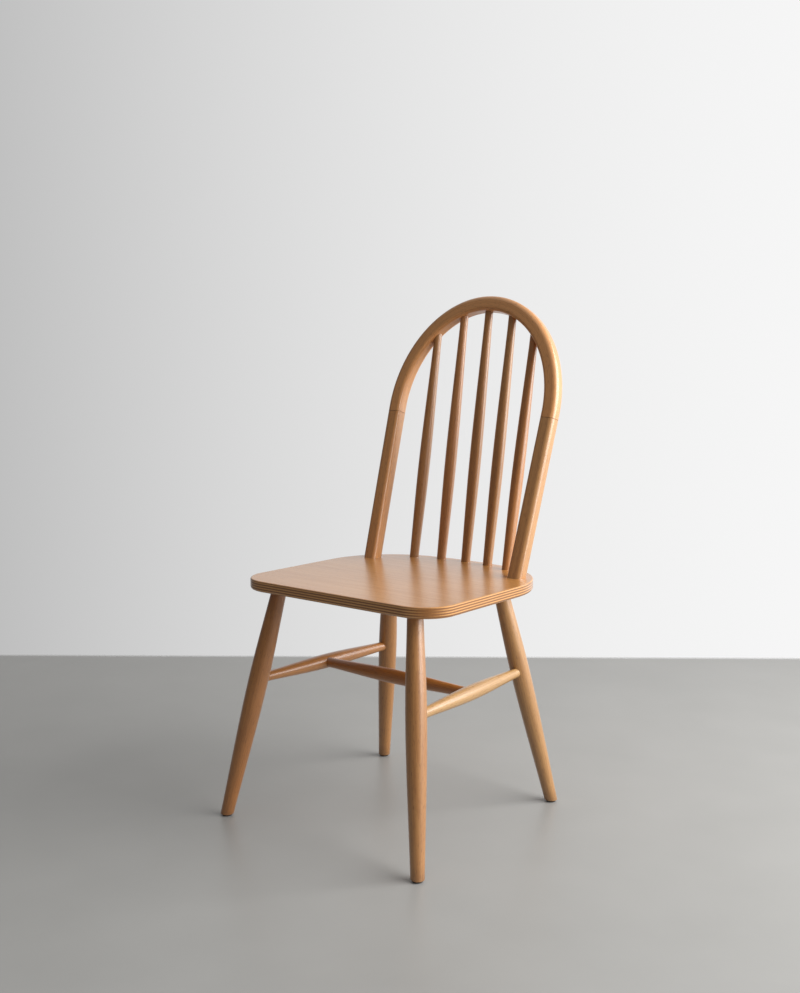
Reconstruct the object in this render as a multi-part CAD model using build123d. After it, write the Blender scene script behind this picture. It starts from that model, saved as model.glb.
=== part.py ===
from build123d import *
import os
from math import asin, cos, degrees, radians, sin, sqrt, tan

# A hoop-back wooden dining chair, front towards -Y, standing on the floor at z = 0.

# Driving dimensions, in millimetres and degrees
# Seat panel
seat_height = 450.0  # floor to the top of the seat
seat_width = 458.0  # across the front corners before they are rounded
seat_rear_width = 451.0  # the same at the rear corners
seat_depth = 430.0  # front edge to the middle of the rear edge
seat_rear_bulge = 46.0  # how far the rear edge bows out
seat_thickness = 20.5
front_corner_radius = 65.0
rear_corner_radius = 160.0
top_edge_radius = 2.5
bottom_edge_radius = 5.0
bore_floor = 5.0  # wood left behind each blind bore

# Legs, with their insets measured from the seat's edges to the leg's middle at the underside
leg_swell = 37.0  # widest diameter, at the stretcher
leg_foot_size = 24.0
leg_top_size = 28.8
leg_neck = 10.0  # plain length below the seat
leg_foot_chamfer = 1.0
leg_splay = 10.2  # lean of the legs, front and rear
front_side_splay = 9.0  # sideways lean of the front legs
front_leg_inset = 45.5
front_leg_side_inset = 69.5
rear_leg_inset = 90.5
rear_leg_side_inset = 92.2

# Foot glides
glide_size = 18.0
glide_height = 3.0
glide_round = 1.0
nail_size = 2.4
nail_length = 17.0
nail_point = 3.0

# Stretchers
stretcher_height = 261.0  # floor to the stretcher axes
stretcher_neck = 11.0  # plain length outside the leg
stretcher_swell_at = 0.5  # share of the way along
side_stretcher_swell = 28.0
side_stretcher_end = 18.5
centre_stretcher_swell = 27.2
centre_stretcher_end = 19.0
centre_stretcher_at = 0.485  # share of the way from front leg to rear leg

# Bow
back_length = 537.2  # seat top to the middle of the bow's top, up the slope of the back
back_rake = 17.0  # slope of the bow from the vertical
bow_width = 30.0  # section across the back
bow_depth = 28.0  # section front to back
bow_outer_round = 9.5
bow_inner_round = 6.5
bow_flare = 1.8  # outward lean of the posts within the back
post_length = 306.4  # seat top to the joint, up the slope
arch_tail = 9.0  # straight length of the arch above the joint
post_inset = 95.7  # from the seat's rear edge
post_side_inset = 49.6  # from the seat's side edge
post_tenon_size = 18.0
splice_chamfer = 0.5  # on both sides of the joint between post and arch, which leaves a fine groove
dowel_size = 10.0
dowel_length = 50.0
dowel_chamfer = 1.0

# Spindles
spindle_names = ("far_left", "left", "centre", "right", "far_right")
spindle_swell = 23.5  # widest diameter
spindle_foot_size = 18.6
spindle_top_size = 16.0
spindle_neck = 25.0  # plain length below the bow
spindle_swell_at = 0.4  # share of the way from seat to bow
spindle_fan = 1.03  # spacing at the bow over spacing at the seat
spindle_inset = 13.9  # from the seat's rear edge to the middle spindle
spindle_row_radius = 295.0  # the row of spindle feet is an arc
spindle_past_middle = 3.0  # how far a spindle goes past the middle of the bow's section

# Clearances
glue_gap = 0.1  # all round between a round end and its bore
end_gap = 0.5  # between a round end and the bottom of its bore

# Places worked out from the sizes
seat_top = seat_height
seat_underside = seat_height - seat_thickness
seat_front = -seat_depth / 2
seat_rear = seat_depth / 2
front_leg_x = seat_width / 2 - front_leg_side_inset
front_leg_y = seat_front + front_leg_inset
rear_leg_x = seat_rear_width / 2 - rear_leg_side_inset
rear_leg_y = seat_rear - rear_leg_inset
stretcher_land = leg_swell / 2 + stretcher_neck
centre_stretcher_land = side_stretcher_swell / 2 + stretcher_neck
post_base_x = seat_rear_width / 2 - post_side_inset
post_base_y = seat_rear - post_inset
spindle_row_y = seat_rear - spindle_inset
spindle_foot_land = seat_thickness
spindle_top_land = spindle_past_middle + bow_width / 2 + spindle_neck

# The spindles and posts stand with equal gaps between them at the seat
spindle_count = len(spindle_names)
room_for_gaps = 2 * post_base_x - bow_width - spindle_count * spindle_foot_size
spindle_spacing = spindle_foot_size + room_for_gaps / (spindle_count + 1)

LEFT = -1
RIGHT = 1
SIDES = {"left": LEFT, "right": RIGHT}
UP_FROM_START = (Align.CENTER, Align.CENTER, Align.MIN)


# Lines and round work shared by several pieces
clear_heading = Vector(1, 2, 0)  # a level line that no stick or bore lies along


def axis_plane(start, end):
    # the seam of a turning lies on x, which the clear heading keeps off the bores
    along = end - start
    return Plane(origin=start, x_dir=along.cross(clear_heading), z_dir=along)


def at_height(start, end, height):
    share = (height - start.Z) / (end.Z - start.Z)
    return start + (end - start) * share


def lean_of(start, end):
    return (end - start).normalized()


def rim_rise(size, direction):
    # how far the rim of a leaning round end stands above its middle
    return size / 2 * sqrt(1 - direction.Z**2)


def turned(start, end, start_size, swell_size, end_size, swell_share, start_land, end_land):
    # a plain round at each end and a swelling between them
    length = (end - start).length
    low = Vector(start_size / 2, start_land)
    swell = Vector(swell_size / 2, swell_share * length)
    high = Vector(end_size / 2, length - end_land)
    swelling = Spline(low, swell, high, tangents=(swell - low, (0, 1), high - swell))
    ends = Polyline(high, (high.X, length), (0, length), (0, 0), (low.X, 0), low)
    turning = revolve(Plane.XZ * make_face([swelling, ends]), Axis.Z)
    return axis_plane(start, end) * turning


def bore(mouth, end, size):
    # hole for a plain round end that stops at the given point
    depth = (end - mouth).length + end_gap
    return axis_plane(mouth, end) * Cylinder(size / 2 + glue_gap, depth, align=UP_FROM_START)


# Legs and what goes into them
def leg_line(row, side):
    rise = seat_underside
    if row == "front":
        top = Vector(side * front_leg_x, front_leg_y, rise)
        foot_x = front_leg_x + rise * tan(radians(front_side_splay))
        foot_y = front_leg_y - rise * tan(radians(leg_splay))
    else:
        top = Vector(side * rear_leg_x, rear_leg_y, rise)
        foot_x = rear_leg_x + rise * tan(radians(leg_splay))
        foot_y = rear_leg_y + rise * tan(radians(leg_splay))
    return Vector(side * foot_x, foot_y, 0), top


def leg_end(row, side):
    foot, top = leg_line(row, side)
    rise = rim_rise(leg_top_size, lean_of(foot, top))
    return at_height(foot, top, seat_top - bore_floor - end_gap - rise)


def leg_bore(row, side):
    foot, top = leg_line(row, side)
    return bore(top - lean_of(foot, top) * leg_neck, leg_end(row, side), leg_top_size)


def stretcher_joint(row, side):
    return at_height(*leg_line(row, side), stretcher_height)


def side_stretcher_bore(row, other_row, side):
    end = stretcher_joint(row, side)
    inward = lean_of(end, stretcher_joint(other_row, side))
    return bore(end + inward * stretcher_land, end, side_stretcher_end)


def glide_place(row, side):
    return Pos(*at_height(*leg_line(row, side), glide_height))


def leg(row, other_row, side):
    foot, top = leg_line(row, side)
    start = at_height(foot, top, -leg_foot_size / 2)
    end = leg_end(row, side)
    top_land = (end - top).length + leg_neck
    swell_share = (stretcher_joint(row, side) - start).length / (end - start).length
    turning = turned(
        start, end, leg_foot_size, leg_swell, leg_top_size, swell_share, leg_foot_size / 2, top_land
    )
    below_foot = Pos(foot.X, foot.Y, glide_height) * Box(
        seat_width, seat_width, leg_foot_size * 2, align=(Align.CENTER, Align.CENTER, Align.MAX)
    )
    nail_hole = Cylinder(nail_size / 2 + glue_gap, nail_length + end_gap, align=UP_FROM_START)
    turning -= below_foot
    turning = chamfer(turning.faces().sort_by(Axis.Z)[0].edges(), leg_foot_chamfer)
    return turning - side_stretcher_bore(row, other_row, side) - glide_place(row, side) * nail_hole


def glide(row, side):
    # a moulded foot with its nail, drawn as half a section and turned
    rim = glide_size / 2
    nail = nail_size / 2
    base = Polyline((0, nail_length), (0, -glide_height), (rim - glide_round, -glide_height))
    edge = RadiusArc(base @ 1, (rim, glide_round - glide_height), -glide_round)
    shank = Polyline(edge @ 1, (rim, 0), (nail, 0), (nail, nail_length - nail_point), (0, nail_length))
    return glide_place(row, side) * revolve(Plane.XZ * make_face([base, edge, shank]), Axis.Z)


# Stretchers
def centre_joint(side):
    front = stretcher_joint("front", side)
    return front + (stretcher_joint("rear", side) - front) * centre_stretcher_at


def centre_stretcher_bore(side):
    end = centre_joint(side)
    inward = lean_of(end, centre_joint(-side))
    return bore(end + inward * centre_stretcher_land, end, centre_stretcher_end)


def side_stretcher(side):
    front = stretcher_joint("front", side)
    rear = stretcher_joint("rear", side)
    end = side_stretcher_end
    land = stretcher_land
    turning = turned(front, rear, end, side_stretcher_swell, end, stretcher_swell_at, land, land)
    return turning - centre_stretcher_bore(side)


def centre_stretcher():
    start = centre_joint(LEFT)
    finish = centre_joint(RIGHT)
    end = centre_stretcher_end
    land = centre_stretcher_land
    return turned(start, finish, end, centre_stretcher_swell, end, stretcher_swell_at, land, land)


# The bow lies in a sloping plane: x runs across the back and y runs up it from the seat top
bow_plane = Plane(
    origin=(0, post_base_y, seat_top),
    x_dir=(1, 0, 0),
    z_dir=(0, -cos(radians(back_rake)), sin(radians(back_rake))),
)
flare_slope = tan(radians(bow_flare))
splice_x = post_base_x + post_length * flare_slope
bend_start = post_length + arch_tail
bend_x = post_base_x + bend_start * flare_slope

# The bend is part of an ellipse that leaves each straight tail along the tail's own line
arch_rise = back_length - bend_start
arch_drop = arch_rise**2 * flare_slope / (bend_x + 2 * arch_rise * flare_slope)
arch_half_height = arch_rise - arch_drop
arch_half_width = arch_half_height * sqrt(flare_slope * bend_x / arch_drop)
arch_middle = back_length - arch_half_height


def in_bow(x, y):
    return bow_plane.from_local_coords(Vector(x, y, 0))


def post_line(side):
    return in_bow(side * post_base_x, 0), in_bow(side * splice_x, post_length)


def post_tenon_end(side):
    base, splice = post_line(side)
    rise = rim_rise(post_tenon_size, lean_of(base, splice))
    return at_height(base, splice, seat_underside + bore_floor + end_gap + rise)


def post_bore(side):
    base, splice = post_line(side)
    return bore(base + lean_of(base, splice) * bow_width, post_tenon_end(side), post_tenon_size)


def dowel_ends(side):
    base, splice = post_line(side)
    half = lean_of(base, splice) * (dowel_length / 2)
    return splice - half, splice + half


def dowel_bore(side):
    low, high = dowel_ends(side)
    middle = (low + high) / 2
    return bore(middle, low, dowel_size) + bore(middle, high, dowel_size)


def bow_section(origin, along, side):
    # section square to the bow's run, its x towards the inside, rounder on the outside than the inside
    inward = bow_plane.z_dir.cross(along) * side
    section = Rectangle(bow_width, bow_depth)
    section = fillet(section.vertices().group_by(Axis.X)[0], bow_outer_round)
    section = fillet(section.vertices().group_by(Axis.X)[-1], bow_inner_round)
    return Plane(origin=origin, x_dir=inward, z_dir=along) * section


def end_edges(stick, splice):
    return stick.faces().sort_by_distance(splice)[0].edges()


def bow_post(side):
    base, splice = post_line(side)
    along = lean_of(base, splice)
    start = base - along * bow_width
    stick = extrude(bow_section(start, along, side), (splice - start).length)
    stick = chamfer(end_edges(stick, splice), splice_chamfer)
    below_seat_top = Pos(base.X, base.Y, seat_top) * Box(
        seat_width, seat_width, 4 * bow_width, align=(Align.CENTER, Align.CENTER, Align.MAX)
    )
    tenon_start = post_tenon_end(side)
    tenon_length = (base - tenon_start).length + bow_depth / 2
    tenon = axis_plane(tenon_start, splice) * Cylinder(
        post_tenon_size / 2, tenon_length, align=UP_FROM_START
    )
    return stick - below_seat_top + tenon - dowel_bore(side)


def splice_dowel(side):
    low, high = dowel_ends(side)
    stick = Cylinder(dowel_size / 2, dowel_length, align=UP_FROM_START)
    rims = stick.edges().filter_by(GeomType.CIRCLE)
    return axis_plane(low, high) * chamfer(rims, dowel_chamfer)


def arch_end(side):
    splice = post_line(side)[1]
    bend = in_bow(side * bend_x, bend_start)
    tail = extrude(bow_section(splice, lean_of(splice, bend), side), (bend - splice).length)
    return chamfer(end_edges(tail, splice), splice_chamfer)


def bow_arch():
    turn = degrees(asin(arch_drop / arch_half_height))
    run = EllipticalCenterArc(
        (0, arch_middle), arch_half_width, arch_half_height, -turn, arc_size=180 + 2 * turn
    )
    path = bow_plane * run
    arch = sweep(bow_section(path @ 0, path % 0, RIGHT), path)
    for side in SIDES.values():
        arch += arch_end(side)
        arch -= dowel_bore(side)
    for number in range(spindle_count):
        arch -= spindle_top_bore(number)
    return arch


# Spindles, numbered from the left
def spindle_line(number):
    step = number - (spindle_count - 1) / 2
    foot_x = step * spindle_spacing
    foot_y = spindle_row_y - spindle_row_radius + sqrt(spindle_row_radius**2 - foot_x**2)
    top_x = foot_x * spindle_fan
    top_y = arch_middle + arch_half_height * sqrt(1 - (top_x / arch_half_width) ** 2)
    return Vector(foot_x, foot_y, seat_top), in_bow(top_x, top_y)


def spindle_ends(number):
    foot, top = spindle_line(number)
    along = lean_of(foot, top)
    rise = rim_rise(spindle_foot_size, along)
    start = at_height(foot, top, seat_underside + bore_floor + end_gap + rise)
    return start, top + along * spindle_past_middle


def spindle_top_bore(number):
    start, end = spindle_ends(number)
    return bore(end - lean_of(start, end) * spindle_top_land, end, spindle_top_size)


def spindle_foot_bore(number):
    start, end = spindle_ends(number)
    return bore(start + lean_of(start, end) * spindle_foot_land, start, spindle_foot_size)


def spindle(number):
    return turned(
        *spindle_ends(number), spindle_foot_size, spindle_swell, spindle_top_size,
        spindle_swell_at, spindle_foot_land, spindle_top_land
    )


# Seat panel
def seat_outline():
    front_right = (seat_width / 2, seat_front)
    rear_right = (seat_rear_width / 2, seat_rear - seat_rear_bulge)
    front_left = (-seat_width / 2, seat_front)
    rear_left = (-seat_rear_width / 2, seat_rear - seat_rear_bulge)
    edges = Polyline(rear_left, front_left, front_right, rear_right)
    back = ThreePointArc(rear_right, (0, seat_rear), rear_left)
    outline = make_face([edges, back])
    outline = fillet(outline.vertices().group_by(Axis.Y)[0], front_corner_radius)
    return fillet(outline.vertices().group_by(Axis.Y)[-1], rear_corner_radius)


def seat():
    panel = Pos(0, 0, seat_underside) * extrude(seat_outline(), seat_thickness)
    panel = fillet(panel.faces().sort_by(Axis.Z)[-1].edges(), top_edge_radius)
    panel = fillet(panel.faces().sort_by(Axis.Z)[0].edges(), bottom_edge_radius)
    for side in SIDES.values():
        panel -= leg_bore("front", side)
        panel -= leg_bore("rear", side)
        panel -= post_bore(side)
    for number in range(spindle_count):
        panel -= spindle_foot_bore(number)
    return panel


# Build every piece under its own name
pieces = {"seat": seat(), "centre_stretcher": centre_stretcher(), "bow_arch": bow_arch()}
for side_name, side in SIDES.items():
    for row, other_row in (("front", "rear"), ("rear", "front")):
        pieces[f"leg_{row}_{side_name}"] = leg(row, other_row, side)
        pieces[f"glide_{row}_{side_name}"] = glide(row, side)
    pieces[f"side_stretcher_{side_name}"] = side_stretcher(side)
    pieces[f"bow_post_{side_name}"] = bow_post(side)
for number, spindle_name in enumerate(spindle_names):
    pieces[f"spindle_{spindle_name}"] = spindle(number)
pieces["splice_dowels"] = Compound([splice_dowel(side).solid() for side in SIDES.values()])

# Slide the chair along Y so that the origin is under the middle of its outer box, then write it
whole = Compound([solid for piece in pieces.values() for solid in piece.solids()])
to_middle = Pos(0, -whole.bounding_box().center().Y, 0)
os.makedirs("parts", exist_ok=True)
for name, piece in pieces.items():
    export_step(to_middle * piece, f"parts/{name}.step")
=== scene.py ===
import math

import bpy
import numpy as np
from mathutils import Matrix, Vector


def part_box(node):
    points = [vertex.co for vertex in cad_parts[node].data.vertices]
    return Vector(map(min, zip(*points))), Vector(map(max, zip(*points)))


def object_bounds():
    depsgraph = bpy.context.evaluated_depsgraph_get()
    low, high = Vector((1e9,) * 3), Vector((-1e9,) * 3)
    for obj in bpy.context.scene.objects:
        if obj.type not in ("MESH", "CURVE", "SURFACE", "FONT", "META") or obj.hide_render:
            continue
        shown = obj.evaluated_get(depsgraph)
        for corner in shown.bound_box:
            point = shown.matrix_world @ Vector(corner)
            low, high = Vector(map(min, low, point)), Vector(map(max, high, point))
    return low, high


# A hoop-back wooden dining chair, dressed piece by piece in the order it is put together
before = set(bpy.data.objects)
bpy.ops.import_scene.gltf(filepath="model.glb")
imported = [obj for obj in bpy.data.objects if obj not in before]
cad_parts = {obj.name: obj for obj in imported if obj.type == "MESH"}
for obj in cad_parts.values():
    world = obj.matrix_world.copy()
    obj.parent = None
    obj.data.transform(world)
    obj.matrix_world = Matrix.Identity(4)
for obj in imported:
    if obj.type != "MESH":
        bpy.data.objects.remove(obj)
cad_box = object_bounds()

# Seat
# A panel of nine-ply beech plywood, sawn to shape and rounded over, with its plies bare along the edge.
# It is bored from above and below for the sticks, then stained to match them and sprayed with lacquer.
MM = 1000  # millimetres in one of Blender's metres
seat_low, seat_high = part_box("seat")
ply_count = 9
ply_thickness = (seat_high.z - seat_low.z) * MM / ply_count
glue_line = 0.3  # real lines are a third as thick, drawn coarser so that they show
seat_log_spot = (30.0, 95.0, 400.0)  # near the heart, for the wide arched figure of a crown-cut leaf
seat_ring_width = 5.0
next_leaf = (37.0, 0.0, 260.0)  # each ply is peeled from further along the log
pale_beech = "#C0854A"
late_wood = "#A26631"
dark_fibre = "#905727"
beech_fleck = "#7A4720"
end_grain = "#7B4A23"
glue_brown = "#5E3A1C"
rim_wear_and_highlight_colour = "#D9A873"
pale_ply = "#DCA668"
lacquer_blur = 0.34
panel_blur = 0.26  # the flat panel reflects more sharply than the round sticks
# A tint is shares of red, green and blue. Each was fitted under this light to the photograph,
# so it holds the piece's own shade of beech and also painted light and shade: paler where a piece is lit
# more strongly there, darker where it lies more in shade. Each was fitted under this light to the
# photograph, so it holds the piece's own shade of beech and also some of what this light gets wrong.
seat_tint = (1.18, 1.22, 1.05)


def linear(hex_colour, tint=(1, 1, 1)):
    # sRGB hex to the linear colour that a shader works in, with its red, green and blue tinted
    shares = [int(hex_colour[at : at + 2], 16) / 255 for at in (1, 3, 5)]
    bright = [s / 12.92 if s <= 0.04045 else ((s + 0.055) / 1.055) ** 2.4 for s in shares]
    return [share * b for share, b in zip(tint, bright)] + [1.0]


def feed(node, inputs):
    # gives each input its value, or a link from the node or output that feeds it
    for name, value in inputs.items():
        named = [entry for entry in node.inputs if entry.enabled and entry.name == name]
        entry = node.inputs[name] if isinstance(name, int) else named[0]
        if isinstance(value, bpy.types.Node):
            value = next(output for output in value.outputs if output.enabled)
        if isinstance(value, bpy.types.NodeSocket):
            node.id_data.links.new(value, entry)
        else:
            entry.default_value = value


def add_node(tree, kind, inputs, **settings):
    node = tree.nodes.new("ShaderNode" + kind)
    for name, value in settings.items():
        setattr(node, name, value)
    feed(node, inputs)
    return node


def new_finish(name, piece):
    # a fresh material on every slot of a piece, with its tree and its shader
    material = bpy.data.materials.new(name)
    material.use_nodes = True
    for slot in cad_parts[piece].material_slots:
        slot.material = material
    return material.node_tree, material.node_tree.nodes["Principled BSDF"]


def lacquered_beech(tree, shader, grain, log_spot, ring_width, tint):
    # Beech is close and even: faint growth rings, fine fibre and short dark flecks under satin lacquer,
    # which gives the eye a warm honey brown with a soft sheen and blurred reflections.
    # The grain is in millimetres with z along the fibre, and the log spot is where in the log it grew.
    fibre_width = 2.0  # real fibres are a tenth as wide, drawn coarser so that they show
    fibre_length = 130.0
    fleck_width = 1.1  # real flecks are 0.3 by 3 mm, drawn coarser so that they show
    fleck_length = 10.0
    cloud_width = 55.0
    cloud_length = 190.0
    ring_wander = 14.0  # in radians of a ring, so about two rings to and fro
    wander_width = 60.0
    slow_along = 0.12  # the rings wander this much less along the log than across it
    rings_per_unit = 20 / math.tau  # rings in one unit of the wave pattern
    wave_scale = 1 / (ring_width * rings_per_unit)
    ring_start, ring_end = 0.2, 0.65  # shares of late wood from one ring line to the next
    # where in its own pattern each mark starts and is full, and the most of its colour that it gives
    streak_start, streak_full, most_streak = 0.42, 0.75, 0.5
    cloud_start, cloud_full, most_cloud = 0.3, 0.7, 0.35
    fleck_start, fleck_full, most_fleck = 0.64, 0.76, 0.5
    fibre_low, fibre_high = 0.3, 0.7
    satin_low, satin_high = 0.3, 0.4
    pore_depth = 0.1

    in_log = add_node(tree, "VectorMath", {0: grain, 1: log_spot}, operation="ADD")
    ring_at = add_node(tree, "VectorMath", {0: in_log, 1: (1, 1, slow_along)}, operation="MULTIPLY")
    rings = add_node(
        tree, "TexWave",
        {"Vector": ring_at, "Scale": wave_scale, "Distortion": ring_wander, "Detail": 2.0,
         "Detail Scale": 1 / (wander_width * wave_scale), "Detail Roughness": 0.55},
        wave_type="RINGS", rings_direction="Z", wave_profile="SAW",
    )
    fibre_step = (1 / fibre_width, 1 / fibre_width, 1 / fibre_length)
    fibre_at = add_node(tree, "VectorMath", {0: in_log, 1: fibre_step}, operation="MULTIPLY")
    fibre = add_node(tree, "TexNoise", {"Vector": fibre_at, "Scale": 1.0, "Detail": 3.0})
    fleck_step = (1 / fleck_width, 1 / fleck_width, 1 / fleck_length)
    fleck_at = add_node(tree, "VectorMath", {0: in_log, 1: fleck_step}, operation="MULTIPLY")
    fleck = add_node(tree, "TexNoise", {"Vector": fleck_at, "Scale": 1.0, "Detail": 0.0})
    cloud_step = (1 / cloud_width, 1 / cloud_width, 1 / cloud_length)
    cloud_at = add_node(tree, "VectorMath", {0: in_log, 1: cloud_step}, operation="MULTIPLY")
    cloud = add_node(tree, "TexNoise", {"Vector": cloud_at, "Scale": 1.0, "Detail": 1.0})

    late = add_node(tree, "MapRange", {"Value": rings, "To Min": ring_start, "To Max": ring_end})
    colours = {"Factor": late, "A": linear(pale_beech, tint), "B": linear(late_wood, tint)}
    wood = add_node(tree, "Mix", colours, data_type="RGBA")
    streak = add_node(
        tree, "MapRange",
        {"Value": fibre, "From Min": streak_start, "From Max": streak_full, "To Max": most_streak},
    )
    wood = add_node(
        tree, "Mix", {"Factor": streak, "A": wood, "B": linear(dark_fibre, tint)}, data_type="RGBA"
    )
    patch = add_node(
        tree, "MapRange",
        {"Value": cloud, "From Min": cloud_start, "From Max": cloud_full, "To Max": most_cloud},
    )
    wood = add_node(
        tree, "Mix", {"Factor": patch, "A": wood, "B": linear(pale_beech, tint)}, data_type="RGBA"
    )
    dash = add_node(
        tree, "MapRange",
        {"Value": fleck, "From Min": fleck_start, "From Max": fleck_full, "To Max": most_fleck},
    )
    wood = add_node(
        tree, "Mix", {"Factor": dash, "A": wood, "B": linear(beech_fleck, tint)}, data_type="RGBA"
    )
    satin = add_node(
        tree, "MapRange",
        {"Value": fibre, "From Min": fibre_low, "From Max": fibre_high,
         "To Min": satin_low, "To Max": satin_high},
    )
    pores = add_node(tree, "Bump", {"Height": fibre, "Strength": 0.2, "Distance": pore_depth / MM})
    feed(shader, {"Base Color": wood, "Roughness": satin, "Normal": pores})
    feed(shader, {"IOR": 1.5, "Coat Weight": 1.0, "Coat Roughness": lacquer_blur})
    return wood


tree, shader = new_finish("lacquered_crown_cut_beech_plywood", "seat")
place = add_node(tree, "TexCoord", {})
measured = add_node(tree, "VectorMath", {0: place.outputs["Object"], "Scale": MM}, operation="SCALE")
spot = add_node(tree, "SeparateXYZ", {"Vector": measured})
depth = add_node(tree, "Math", {0: spot.outputs["Z"], 1: seat_low.z * MM}, operation="SUBTRACT")
plies_up = add_node(tree, "Math", {0: depth, 1: ply_thickness}, operation="DIVIDE")
ply = add_node(tree, "Math", {0: plies_up}, operation="FLOOR")
crossed = add_node(tree, "Math", {0: ply, 1: 2.0}, operation="FLOORED_MODULO")
along_seat = add_node(tree, "CombineXYZ", {"X": spot.outputs["X"], "Y": depth, "Z": spot.outputs["Y"]})
across_seat = add_node(tree, "CombineXYZ", {"X": spot.outputs["Y"], "Y": depth, "Z": spot.outputs["X"]})
leaf = add_node(
    tree, "Mix", {"Factor": crossed, "A": along_seat, "B": across_seat}, data_type="VECTOR"
)
leaf_shift = add_node(tree, "VectorMath", {0: next_leaf, "Scale": ply}, operation="SCALE")
leaf = add_node(tree, "VectorMath", {0: leaf, 1: leaf_shift}, operation="ADD")
wood = lacquered_beech(tree, shader, leaf, seat_log_spot, seat_ring_width, seat_tint)
feed(shader, {"Coat Roughness": panel_blur})

# A ply whose fibre runs out through the edge drinks the stain and turns dark, and the next stays pale.
# Each starts and is full at a share of the face's normal: along the fibre, or upright for the edge.
end_start, end_full, most_end_grain = 0.3, 0.9, 0.85
side_start, side_full, most_pale_ply = 0.6, 0.2, 0.6
edge_start, edge_full, most_glue = 0.9, 0.5, 0.65
facing = add_node(tree, "VectorMath", {0: place.outputs["Normal"]}, operation="ABSOLUTE")
facing = add_node(tree, "SeparateXYZ", {"Vector": facing})
cut_fibre = add_node(
    tree, "Mix",
    {"Factor": crossed, "A": facing.outputs["Y"], "B": facing.outputs["X"]},
    data_type="FLOAT",
)
open_end = add_node(
    tree, "MapRange",
    {"Value": cut_fibre, "From Min": end_start, "From Max": end_full, "To Max": most_end_grain},
)
wood = add_node(tree, "Mix", {"Factor": open_end, "A": wood, "B": linear(end_grain)}, data_type="RGBA")
in_ply = add_node(tree, "Math", {0: plies_up}, operation="FRACT")
from_glue = add_node(tree, "Math", {0: in_ply, 1: 1.0}, operation="PINGPONG")
edge_on = add_node(
    tree, "MapRange", {"Value": facing.outputs["Z"], "From Min": edge_start, "From Max": edge_full}
)
closed_side = add_node(
    tree, "MapRange",
    {"Value": cut_fibre, "From Min": side_start, "From Max": side_full, "To Max": most_pale_ply},
)
closed_side = add_node(tree, "Math", {0: closed_side, 1: edge_on}, operation="MULTIPLY")
wood = add_node(tree, "Mix", {"Factor": closed_side, "A": wood, "B": linear(pale_ply)}, data_type="RGBA")
glue = add_node(
    tree, "MapRange",
    {"Value": from_glue, "From Min": glue_line / ply_thickness, "From Max": 0, "To Max": most_glue},
)
glue = add_node(tree, "Math", {0: glue, 1: edge_on}, operation="MULTIPLY")
wood = add_node(tree, "Mix", {"Factor": glue, "A": wood, "B": linear(glue_brown)}, data_type="RGBA")

# The rounded rim is painted pale along its top ply: partly wear where the lacquer is thinnest, and partly a
# painted highlight for the sheen the rounded edge catches
rim_start, rim_full, most_rim_wear_and_highlight = 0.98, 0.75, 0.35
rim = add_node(
    tree, "MapRange", {"Value": facing.outputs["Z"], "From Min": rim_start, "From Max": rim_full}
)
rim_top = add_node(
    tree, "MapRange",
    {"Value": plies_up, "From Min": ply_count - 1, "From Max": ply_count, "To Max": most_rim_wear_and_highlight},
)
rim_wear_and_highlight = add_node(tree, "Math", {0: rim, 1: rim_top}, operation="MULTIPLY")
wood = add_node(tree, "Mix", {"Factor": rim_wear_and_highlight, "A": wood, "B": linear(rim_wear_and_highlight_colour)}, data_type="RGBA")
feed(shader, {"Base Color": wood})

# Legs
# Four sticks of solid beech turned on a lathe, widest where the stretchers enter them.
# Their plain tops are glued into blind bores under the seat, and their feet are sawn level.
stick_ring_width = 2.8
foot_darkening_height = 30.0
foot_patches_per_metre = 180.0
darker_foot_wood = "#7A5230"
# Painted light and shade: the legs on the lit right are tinted paler, and the front left leg darker
leg_tints = {
    "front_left": (0.88, 0.84, 0.8),
    "front_right": (0.94, 1.02, 1.2),
    "rear_left": (0.97, 1.04, 1.1),
    "rear_right": (0.99, 1.2, 1.5),
}


def stick_line(piece):
    # middle and run of a long straight piece, from the spread of its own surface
    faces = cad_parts[piece].data.polygons
    areas = np.array([face.area for face in faces])
    spots = np.array([face.center for face in faces])
    middle = areas @ spots / areas.sum()
    spread = (spots - middle).T @ ((spots - middle) * areas[:, None])
    run = Vector(np.linalg.eigh(spread)[1][:, -1])
    return Vector(middle), run * math.copysign(1, max(run, key=abs))


def straight_grain(tree, piece):
    # the piece's own millimetres, with z along its fibre
    middle, run = stick_line(piece)
    turn = run.to_track_quat("Z", "Y").to_euler()
    place = add_node(tree, "TexCoord", {})
    return add_node(
        tree, "Mapping",
        {"Vector": place.outputs["Object"], "Location": middle, "Rotation": turn, "Scale": [1 / MM] * 3},
        vector_type="TEXTURE",
    )


def log_spot_of(number):
    # no two sticks come from the same place in the log
    next_stick_turn = 2.4
    next_stick_along = 1100.0
    from_heart = 90.0
    angle = next_stick_turn * number
    return (from_heart * math.cos(angle), from_heart * math.sin(angle), next_stick_along * number)


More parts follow.
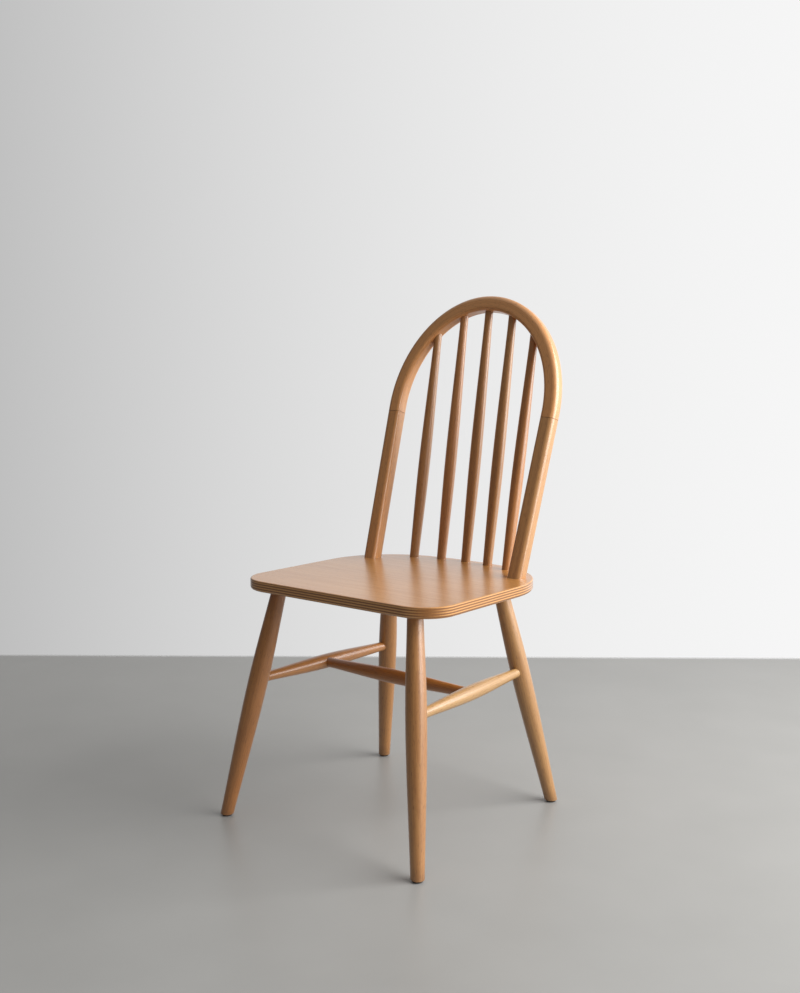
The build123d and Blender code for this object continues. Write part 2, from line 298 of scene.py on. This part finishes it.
sticks_cut = 0
for leg, tint in leg_tints.items():
    sticks_cut += 1
    tree, shader = new_finish(f"lacquered_turned_beech_leg_{leg}", f"leg_{leg}")
    grain = straight_grain(tree, f"leg_{leg}")
    wood = lacquered_beech(tree, shader, grain, log_spot_of(sticks_cut), stick_ring_width, tint)
    # The wood is drawn darker towards the foot, in noisy patches over the lowest few centimetres
    place = add_node(tree, "TexCoord", {})
    spot = add_node(tree, "SeparateXYZ", {"Vector": place.outputs["Object"]})
    low_down = add_node(
        tree, "MapRange", {"Value": spot.outputs["Z"], "From Min": foot_darkening_height / MM, "From Max": 0.0}
    )
    foot_patches = add_node(
        tree, "TexNoise", {"Vector": place.outputs["Object"], "Scale": foot_patches_per_metre, "Detail": 4.0}
    )
    foot_darkening = add_node(tree, "Math", {0: low_down, 1: foot_patches}, operation="MULTIPLY")
    wood = add_node(
        tree, "Mix", {"Factor": foot_darkening, "A": wood, "B": linear(darker_foot_wood)}, data_type="RGBA"
    )
    feed(shader, {"Base Color": wood})

# Foot glides
# Moulded black polypropylene buttons, each with a nail driven up into the end of its leg.
# The mould's fine spark texture leaves them dark and dull, with a slight grey bloom.
glide_black = "#1D1B19"
glide_bloom = "#34312D"
spark_grain = 0.8  # millimetres, four times the real texture so that it shows
spark_depth = 0.05
dull_low, dull_high = 0.45, 0.65
for leg in leg_tints:
    tree, shader = new_finish(f"moulded_black_polypropylene_glide_{leg}", f"glide_{leg}")
    place = add_node(tree, "TexCoord", {})
    spark = add_node(
        tree, "TexNoise", {"Vector": place.outputs["Object"], "Scale": MM / spark_grain, "Detail": 2.0}
    )
    bloom = add_node(
        tree, "Mix", {"Factor": spark, "A": linear(glide_black), "B": linear(glide_bloom)}, data_type="RGBA"
    )
    dull = add_node(tree, "MapRange", {"Value": spark, "To Min": dull_low, "To Max": dull_high})
    pits = add_node(tree, "Bump", {"Height": spark, "Strength": 0.3, "Distance": spark_depth / MM})
    feed(shader, {"Base Color": bloom, "Roughness": dull, "Normal": pits, "IOR": 1.49})

# Stretchers
# Three turned beech rails, swollen in the middle, whose round ends are glued into blind bores.
# The two side rails join front leg to rear leg, and the centre rail joins the side rails.
# Painted light: the right side rail is tinted much paler where it is lit most strongly
stretcher_tints = {
    "side_stretcher_left": (1.0, 1.0, 1.0),
    "side_stretcher_right": (1.03, 1.4, 1.95),
    "centre_stretcher": (0.96, 0.86, 0.7),
}
for rail, tint in stretcher_tints.items():
    sticks_cut += 1
    tree, shader = new_finish(f"lacquered_turned_beech_{rail}", rail)
    grain = straight_grain(tree, rail)
    lacquered_beech(tree, shader, grain, log_spot_of(sticks_cut), stick_ring_width, tint)

# Bow
# Two straight beech posts and a steam-bent beech arch of the same rounded section, doweled end to end.
# Round tenons under the posts are glued into the seat, and each glued joint shows as a fine dark line,
# partly the glue and partly painted shade in the joint's groove.
joint_line = 0.9  # real lines are half as thick, drawn coarser so that they show
joint_core = 0.3 * joint_line
most_joint = 0.6
back_rake = math.radians(17)
# the fibre of the arch follows half an ellipse with these half sizes, about this middle
arch_half_width = 185.9
arch_half_height = 214.8
arch_middle = Vector((0, 0.1973, 0.7591))
arch_bend_radius = (arch_half_width + arch_half_height) / 2
post_tints = {"bow_post_left": (1.28, 1.4, 1.7), "bow_post_right": (1.14, 1.36, 1.8)}
arch_tint = (1.42, 1.56, 1.95)
joint_post = "bow_post_right"
joint_run = stick_line(joint_post)[1]
joint_reach = max(corner.co.dot(joint_run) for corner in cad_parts[joint_post].data.vertices)


def bent_grain(tree):
    # millimetres across the bend, out of its plane and along it, so that the fibre follows the arch
    place = add_node(tree, "TexCoord", {})
    in_plane = add_node(
        tree, "Mapping",
        {"Vector": place.outputs["Object"], "Location": arch_middle,
         "Rotation": (math.pi / 2 - back_rake, 0, 0), "Scale": [1 / MM] * 3},
        vector_type="TEXTURE",
    )
    shares = (1 / arch_half_width, 1 / arch_half_height, 1)
    rounded = add_node(tree, "VectorMath", {0: in_plane, 1: shares}, operation="MULTIPLY")
    spot = add_node(tree, "SeparateXYZ", {"Vector": rounded})
    angle = add_node(tree, "Math", {0: spot.outputs["X"], 1: spot.outputs["Y"]}, operation="ARCTAN2")
    flat = add_node(tree, "VectorMath", {0: rounded, 1: (1, 1, 0)}, operation="MULTIPLY")
    reach = add_node(tree, "VectorMath", {0: flat}, operation="LENGTH")
    bend = add_node(tree, "CombineXYZ", {"X": reach, "Z": angle})
    bend = add_node(tree, "VectorMath", {0: bend, "Scale": arch_bend_radius}, operation="SCALE")
    deep = add_node(tree, "CombineXYZ", {"Y": spot.outputs["Z"]})
    return add_node(tree, "VectorMath", {0: bend, 1: deep}, operation="ADD")


def darken_joint(tree, shader, wood):
    # both joints at once, because the chair is the same on either side of x = 0
    place = add_node(tree, "TexCoord", {})
    mirrored = add_node(tree, "VectorMath", {0: place.outputs["Object"]}, operation="ABSOLUTE")
    along = add_node(tree, "VectorMath", {0: mirrored, 1: joint_run}, operation="DOT_PRODUCT")
    past = add_node(tree, "Math", {0: along, 1: joint_reach}, operation="SUBTRACT")
    away = add_node(tree, "Math", {0: past}, operation="ABSOLUTE")
    # The dark line is partly glue and partly painted shade for the shadow in the joint's fine groove
    line = add_node(
        tree, "MapRange",
        {"Value": away, "From Min": joint_line / MM, "From Max": joint_core / MM, "To Max": most_joint},
    )
    wood = add_node(tree, "Mix", {"Factor": line, "A": wood, "B": linear(glue_brown)}, data_type="RGBA")
    feed(shader, {"Base Color": wood})


for post, tint in post_tints.items():
    sticks_cut += 1
    tree, shader = new_finish(f"lacquered_planed_beech_{post}", post)
    grain = straight_grain(tree, post)
    wood = lacquered_beech(tree, shader, grain, log_spot_of(sticks_cut), stick_ring_width, tint)
    darken_joint(tree, shader, wood)
sticks_cut += 1
tree, shader = new_finish("lacquered_steam_bent_beech", "bow_arch")
grain = bent_grain(tree)
wood = lacquered_beech(tree, shader, grain, log_spot_of(sticks_cut), stick_ring_width, arch_tint)
darken_joint(tree, shader, wood)

# Splice dowels
# Two short pegs of bare beech, glued inside the joints between the posts and the arch.
# They keep the raw, dry look of dowel rod, because no finish reaches them.
bare_beech = "#D8B488"
bare_shadow = "#BC9366"
rod_fibre_width = 1.5
rod_fibre_length = 40.0
dry_low, dry_high = 0.6, 0.8
tree, shader = new_finish("bare_beech_dowel_rod", "splice_dowels")
place = add_node(tree, "TexCoord", {})
rod_step = (MM / rod_fibre_width, MM / rod_fibre_width, MM / rod_fibre_length)
rod_at = add_node(tree, "VectorMath", {0: place.outputs["Object"], 1: rod_step}, operation="MULTIPLY")
rod = add_node(tree, "TexNoise", {"Vector": rod_at, "Scale": 1.0, "Detail": 3.0})
bare = add_node(
    tree, "Mix", {"Factor": rod, "A": linear(bare_beech), "B": linear(bare_shadow)}, data_type="RGBA"
)
dry = add_node(tree, "MapRange", {"Value": rod, "To Min": dry_low, "To Max": dry_high})
feed(shader, {"Base Color": bare, "Roughness": dry, "IOR": 1.5})

# Spindles
# Five turned beech sticks, thickest below the middle, that fill the bow.
# Their round ends are glued into bores in the seat and in the underside of the arch.
# Painted shade: the far left spindle is tinted darker for the shade its neighbours cast on it
spindle_tints = {
    "far_left": (0.86, 0.92, 1.05),
    "left": (1.0, 1.0, 1.1),
    "centre": (0.89, 0.93, 1.02),
    "right": (0.95, 1.05, 1.25),
    "far_right": (1.0, 1.0, 1.1),
}
for stick, tint in spindle_tints.items():
    sticks_cut += 1
    tree, shader = new_finish(f"lacquered_turned_beech_spindle_{stick}", f"spindle_{stick}")
    grain = straight_grain(tree, f"spindle_{stick}")
    lacquered_beech(tree, shader, grain, log_spot_of(sticks_cut), stick_ring_width, tint)

# Camera
# It stands where the photograph was taken from, ahead of the chair, to its right and a little above.
image_height = 993
focal_pixels = 1199.05
camera_spot = Vector((1.37976, -1.76195, 0.87076))
camera_turn = math.radians(38.52)
camera_tilt = math.radians(6.94)
camera_roll = math.radians(0.24)
camera = bpy.data.objects.new("camera", bpy.data.cameras.new("camera"))
bpy.context.scene.collection.objects.link(camera)
camera.data.lens = focal_pixels * camera.data.sensor_width / image_height
camera.matrix_world = (
    Matrix.Translation(camera_spot)
    @ Matrix.Rotation(camera_turn, 4, "Z")
    @ Matrix.Rotation(math.pi / 2 - camera_tilt, 4, "X")
    @ Matrix.Rotation(camera_roll, 4, "Z")
)
bpy.context.scene.camera = camera
bpy.context.scene.view_settings.view_transform = "Standard"

# Studio floor
# A sheet of sealed pale concrete, laid square to the camera and mottled by the trowel.
# Its seal gives a dull gloss, and its far edge melts into the white of the studio behind the chair.
floor_reach = 2.4
floor_depth = 1.115  # from the middle of the chair to the far edge
floor_fade = 0.012
floor_blur = 0.38
floor_grey = "#A1A09D"
floor_patch = "#979693"
trowel_sweep = 0.2
back = floor_depth + floor_fade
near_corners = [(-floor_reach, -floor_reach, 0), (floor_reach, -floor_reach, 0)]
far_corners = [(floor_reach, back, 0), (-floor_reach, back, 0)]
sheet = bpy.data.meshes.new("floor")
sheet.from_pydata(near_corners + far_corners, [], [(0, 1, 2, 3)])
floor = bpy.data.objects.new("floor", sheet)
floor.rotation_euler = (0, 0, camera_turn)
bpy.context.scene.collection.objects.link(floor)
material = bpy.data.materials.new("troweled_and_sealed_concrete")
material.use_nodes = True
tree = material.node_tree
shader = tree.nodes["Principled BSDF"]
sheet.materials.append(material)
place = add_node(tree, "TexCoord", {})
mottle = add_node(
    tree, "TexNoise", {"Vector": place.outputs["Object"], "Scale": 1 / trowel_sweep, "Detail": 4.0}
)
grey = add_node(
    tree, "Mix", {"Factor": mottle, "A": linear(floor_grey), "B": linear(floor_patch)}, data_type="RGBA"
)
feed(shader, {"Base Color": grey, "Roughness": floor_blur, "IOR": 1.45})
spot = add_node(tree, "SeparateXYZ", {"Vector": place.outputs["Object"]})
gone = add_node(
    tree, "MapRange", {"Value": spot.outputs["Y"], "From Min": floor_depth - floor_fade, "From Max": back}
)
nothing = add_node(tree, "BsdfTransparent", {})
faded = add_node(tree, "MixShader", {0: gone, 1: shader, 2: nothing})
feed(tree.nodes["Material Output"], {"Surface": faded})

# Studio light
# One soft lamp as large as a window stands high on the right of the picture, a little behind the chair.
# White walls behind the chair, a pale ceiling and a dim room on the camera's side fill in the rest.
chair_middle = (cad_box[0] + cad_box[1]) / 2
lamp_turn = math.radians(22)
lamp_rise = math.radians(26)
lamp_distance = 2.6
lamp_width = 2.8
lamp_height = 2.2
lamp_watts = 125.0
lamp_aim = Matrix.Rotation(lamp_turn, 3, "Z") @ Matrix.Rotation(-lamp_rise, 3, "Y")
lamp_direction = lamp_aim @ Vector((1, 0, 0))

# The lamp stands twice in one place. The first lights the sticks and shows in their lacquer.
# The second lights the flat seat and floor, and doesn't show in them, so that neither glares white.
for name, flat_pieces_are in (("window", "EXCLUDE"), ("window_without_glare", "INCLUDE")):
    lamp = bpy.data.objects.new(name, bpy.data.lights.new(name, "AREA"))
    bpy.context.scene.collection.objects.link(lamp)
    lamp.data.shape = "RECTANGLE"
    lamp.data.size = lamp_width
    lamp.data.size_y = lamp_height
    lamp.data.energy = lamp_watts
    lamp.location = chair_middle + lamp_direction * lamp_distance
    lamp.rotation_euler = lamp_direction.to_track_quat("Z", "Y").to_euler()
    lamp.visible_camera = False
    lamp.visible_glossy = flat_pieces_are == "EXCLUDE"
    flat_pieces = bpy.data.collections.new(name)
    flat_pieces.objects.link(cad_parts["seat"])
    flat_pieces.objects.link(floor)
    for entry in flat_pieces.collection_objects:
        entry.light_linking.link_state = flat_pieces_are
    lamp.light_linking.receiver_collection = flat_pieces

# Strengths of the walls, the room and the ceiling, and where one fades into the next.
# The walls go by the cosine of the turn away from their middle, and the rest by the rise of the ray.
wall_white = 0.95
room_dim = 0.1
ceiling_pale = 0.42
wall_start, wall_full = -0.5, 0.9
wall_top_low, wall_top_high = 0.35, 0.85
ceiling_start, ceiling_full = 0.5, 0.8
wall_turn = math.radians(68.5)
wall_direction = (math.cos(wall_turn), math.sin(wall_turn), 0)
world = bpy.data.worlds.new("studio")
world.use_nodes = True
bpy.context.scene.world = world
tree = world.node_tree
towards = add_node(tree, "TexCoord", {})
ray = towards.outputs["Generated"]
level = add_node(tree, "VectorMath", {0: ray, 1: (1, 1, 0)}, operation="MULTIPLY")
level = add_node(tree, "VectorMath", {0: level}, operation="NORMALIZE")
at_wall = add_node(tree, "VectorMath", {0: level, 1: wall_direction}, operation="DOT_PRODUCT")
walls = add_node(
    tree, "MapRange", {"Value": at_wall.outputs["Value"], "From Min": wall_start, "From Max": wall_full},
    interpolation_type="SMOOTHSTEP",
)
height = add_node(tree, "SeparateXYZ", {"Vector": ray}).outputs["Z"]
below_ceiling = add_node(
    tree, "MapRange", {"Value": height, "From Min": wall_top_high, "From Max": wall_top_low},
    interpolation_type="SMOOTHSTEP",
)
bright = add_node(tree, "Math", {0: walls, 1: below_ceiling}, operation="MULTIPLY")
around = add_node(tree, "MapRange", {"Value": bright, "To Min": room_dim, "To Max": wall_white})
ceiling = add_node(
    tree, "MapRange",
    {"Value": height, "From Min": ceiling_start, "From Max": ceiling_full, "To Max": ceiling_pale},
)
strength = add_node(tree, "Math", {0: around, 1: ceiling}, operation="ADD")
feed(tree.nodes["Background"], {"Color": (1, 1, 1, 1), "Strength": strength})
